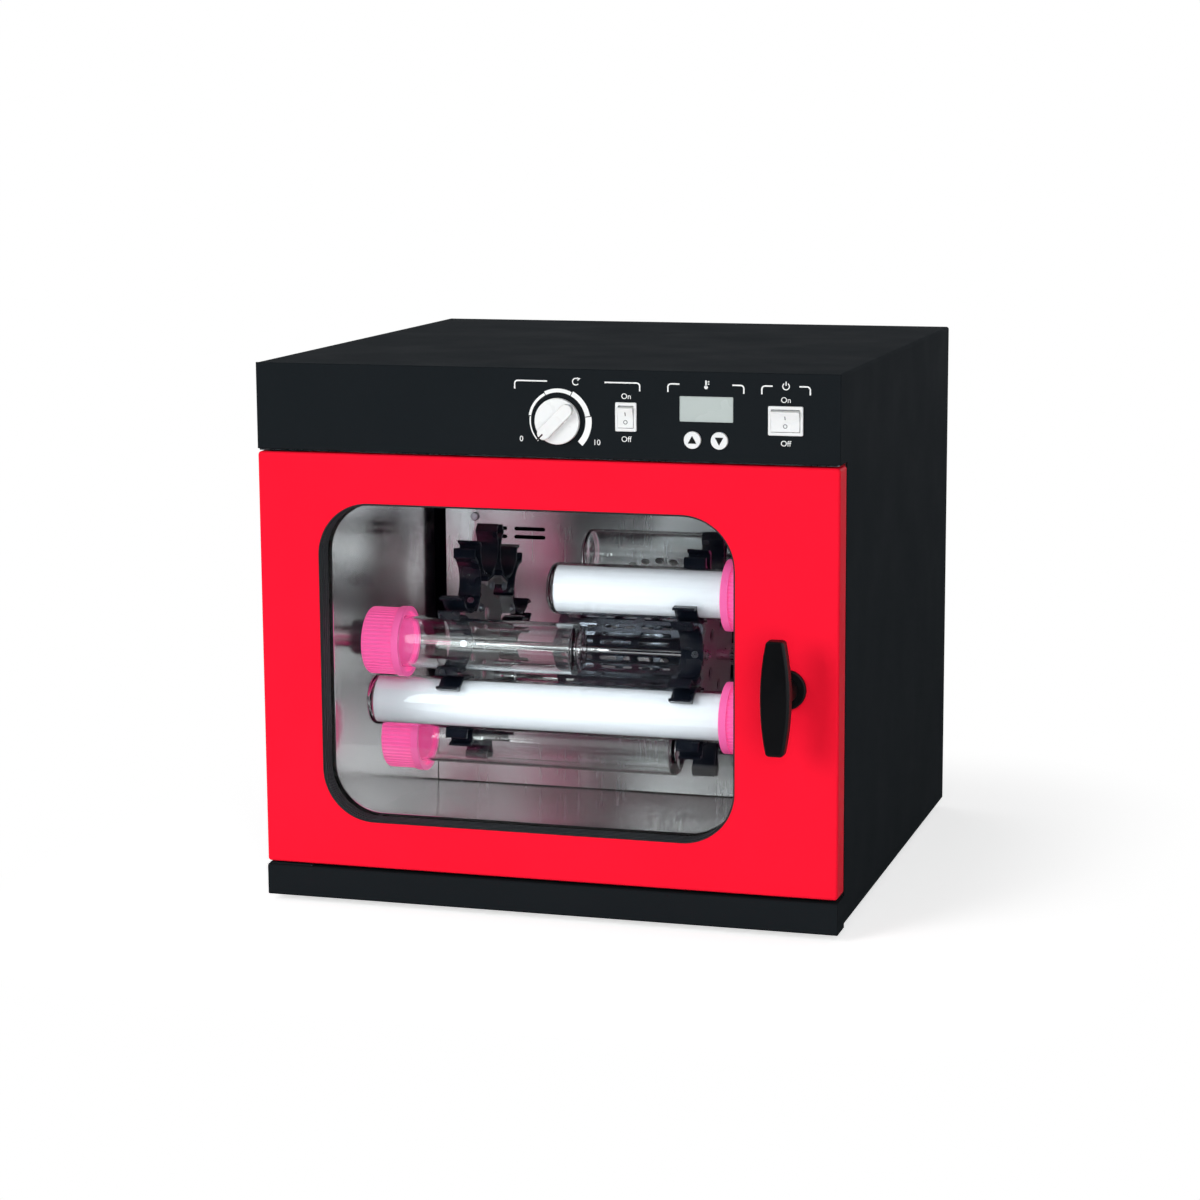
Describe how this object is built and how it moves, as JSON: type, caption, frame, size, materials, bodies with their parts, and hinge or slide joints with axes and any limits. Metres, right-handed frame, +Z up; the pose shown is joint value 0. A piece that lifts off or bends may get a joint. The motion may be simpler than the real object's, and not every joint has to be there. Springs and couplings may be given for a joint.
{
  "type": "hybridization oven",
  "caption": "Bench hybridization oven with a hinged window door, a motor-driven bottle carousel, a circulation fan and a control head.",
  "frame": {"origin": "bench level under the middle of the overall box, latch grip and power inlet included", "axes": "+Z up, +X to the right of a person facing the door, +Y from the door to the back"},
  "size_m": [0.42, 0.451, 0.391],
  "materials": {
    "black_coat": "fine texture, satin",
    "red_coat": "smooth satin",
    "stainless": "bright rolled",
    "polished_steel": "polished",
    "zinc_steel": "zinc plated",
    "aluminium": "machined",
    "black_plastic": "moulded, satin",
    "white_plastic": "moulded, satin",
    "grey_plastic": "moulded",
    "pink_plastic": "moulded, satin",
    "rubber": "moulded",
    "belt_rubber": "moulded",
    "clear_glass": "clear",
    "display_glass": "matt grey-green",
    "paper": "membrane and mesh roll, matt white",
    "mineral_wool": "fibre board",
    "circuit_board": "solder mask",
    "dark_coat": "heat-proof black"
  },
  "bodies": {
    "cabinet": {"outer_cover": "black_coat", "base_pan": "zinc_steel", "base_front_bar": "black_coat", "feet": "rubber", "case_screws": "zinc_steel", "front_frame": "stainless", "chamber_liner": "stainless", "latch_keeper": "stainless", "fan_baffle": "stainless", "insulation": "mineral_wool", "head_floor": "zinc_steel", "control_panel": "black_coat", "switch_bodies": "white_plastic", "display_window": "display_glass", "control_board": "circuit_board", "speed_potentiometer": "black_plastic", "power_supply": "circuit_board", "rear_panel": "black_coat", "power_inlet": "black_plastic", "fan_motor": "aluminium", "heater_element": "dark_coat", "temperature_probe": "polished_steel", "drive_belt": "belt_rubber", "hub_bearing": "grey_plastic", "drive_motor": "aluminium", "motor_bracket": "zinc_steel", "hinge_brackets": "black_coat", "hinge_pins": "polished_steel", "shaft_cradle": "grey_plastic"},
    "door": {"door_shell": "red_coat", "door_back": "stainless", "door_insulation": "mineral_wool", "door_glass": "clear_glass", "window_gasket": "rubber", "door_seal": "rubber", "door_screws": "zinc_steel", "hinge_bushes": "black_plastic", "latch_boss": "black_plastic"},
    "latch": {"latch_handle": "black_plastic", "latch_spindle": "polished_steel", "latch_cam": "polished_steel"},
    "speed_control": {"speed_knob": "white_plastic"},
    "rotor_switch": {"rotor_rocker": "white_plastic"},
    "power_switch": {"power_rocker": "white_plastic"},
    "up_key": {"up_button": "white_plastic"},
    "down_key": {"down_button": "white_plastic"},
    "carousel": {"driven_pulley": "aluminium", "drive_hub": "polished_steel", "carousel_shaft": "polished_steel", "end_plates": "polished_steel", "tie_rods": "polished_steel", "drum": "polished_steel", "clips_loaded": "black_plastic", "clips_empty": "black_plastic", "clip_screws": "zinc_steel", "bottles": "clear_glass", "bottle_caps": "pink_plastic", "paper_liners": "paper"},
    "motor_drive": {"motor_pulley": "aluminium"},
    "fan": {"fan_wheel": "stainless"}
  },
  "joints": [
    {"name": "door_swing", "type": "hinge", "parent": "cabinet", "child": "door", "pos_m": [-0.201, -0.1788, 0.1775], "axis": [0, 0, -1], "range_deg": [0, 115]},
    {"name": "latch_turn", "type": "hinge", "parent": "door", "child": "latch", "pos_m": [0.1738, -0.1883, 0.176], "axis": [0, 1, 0], "range_deg": [0, 90]},
    {"name": "speed_turn", "type": "hinge", "parent": "cabinet", "child": "speed_control", "pos_m": [0.0129, -0.1883, 0.3552], "axis": [0, 1, 0], "range_deg": [0, 270]},
    {"name": "rotor_switch_rock", "type": "hinge", "parent": "cabinet", "child": "rotor_switch", "pos_m": [0.0614, -0.1883, 0.3592], "axis": [-1, 0, 0], "range_deg": [0, 18]},
    {"name": "power_switch_rock", "type": "hinge", "parent": "cabinet", "child": "power_switch", "pos_m": [0.1726, -0.1883, 0.3592], "axis": [-1, 0, 0], "range_deg": [0, 18]},
    {"name": "up_press", "type": "slide", "parent": "cabinet", "child": "up_key", "axis": [0, 1, 0], "range_m": [0, 0.0012], "stiffness_N_per_m": 800},
    {"name": "down_press", "type": "slide", "parent": "cabinet", "child": "down_key", "axis": [0, 1, 0], "range_m": [0, 0.0012], "stiffness_N_per_m": 800},
    {"name": "carousel_spin", "type": "hinge", "parent": "cabinet", "child": "carousel", "pos_m": [0, -0.0203, 0.165], "axis": [1, 0, 0], "continuous": true},
    {"name": "motor_spin", "type": "hinge", "parent": "cabinet", "child": "motor_drive", "pos_m": [-0.19, 0.199, 0.165], "axis": [1, 0, 0], "continuous": true},
    {"name": "fan_spin", "type": "hinge", "parent": "cabinet", "child": "fan", "pos_m": [0, 0.1417, 0.165], "axis": [0, 1, 0], "continuous": true}
  ],
  "couplings": [
    {"joint": "motor_spin", "follows": "carousel_spin", "ratio": 2}
  ]
}
